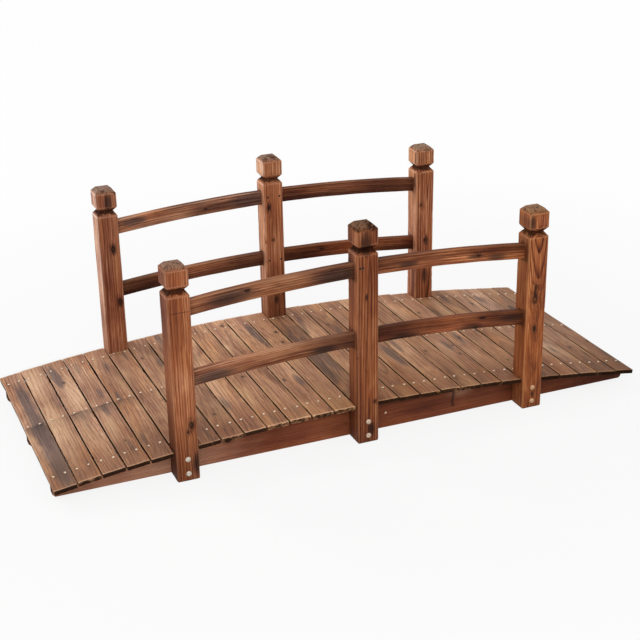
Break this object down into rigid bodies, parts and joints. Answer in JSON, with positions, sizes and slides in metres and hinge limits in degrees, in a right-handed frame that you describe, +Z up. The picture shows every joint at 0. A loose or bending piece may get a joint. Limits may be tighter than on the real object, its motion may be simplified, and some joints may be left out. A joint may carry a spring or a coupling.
{
  "type": "arched wooden garden bridge",
  "caption": "Small arched wooden footbridge for a garden, with cross boards on sawn stringers, bolted posts with notched caps, and curved rails along both sides.",
  "frame": {"origin": "on the ground, under the middle of the deck", "axes": "+X along the bridge, +Y across it to the far railing, +Z up"},
  "size_m": [1.4922, 0.655, 0.541],
  "materials": {
    "stringer_wood": "scorched and oiled",
    "board_wood": "scorched and oiled",
    "post_wood": "scorched and oiled",
    "rail_wood": "scorched and oiled",
    "bolt_steel": "zinc plated"
  },
  "bodies": {
    "root": {"near_stringer": "stringer_wood", "far_stringer": "stringer_wood", "middle_stringer": "stringer_wood", "deck_board_01": "board_wood", "deck_board_02": "board_wood", "deck_board_03": "board_wood", "deck_board_04": "board_wood", "deck_board_05": "board_wood", "deck_board_06": "board_wood", "deck_board_07": "board_wood", "deck_board_08": "board_wood", "deck_board_09": "board_wood", "deck_board_10": "board_wood", "deck_board_11": "board_wood", "deck_board_12": "board_wood", "deck_board_13": "board_wood", "deck_board_14": "board_wood", "deck_board_15": "board_wood", "deck_board_16": "board_wood", "deck_board_17": "board_wood", "deck_board_18": "board_wood", "deck_board_19": "board_wood", "deck_board_20": "board_wood", "deck_board_21": "board_wood", "deck_board_22": "board_wood", "deck_board_23": "board_wood", "deck_board_24": "board_wood", "deck_board_25": "board_wood", "deck_board_26": "board_wood", "deck_board_27": "board_wood", "near_left_post": "post_wood", "near_middle_post": "post_wood", "near_right_post": "post_wood", "far_left_post": "post_wood", "far_middle_post": "post_wood", "far_right_post": "post_wood", "near_left_upper_rail": "rail_wood", "near_left_lower_rail": "rail_wood", "near_right_upper_rail": "rail_wood", "near_right_lower_rail": "rail_wood", "far_left_upper_rail": "rail_wood", "far_left_lower_rail": "rail_wood", "far_right_upper_rail": "rail_wood", "far_right_lower_rail": "rail_wood", "post_bolts": "bolt_steel"}
  },
  "joints": []
}
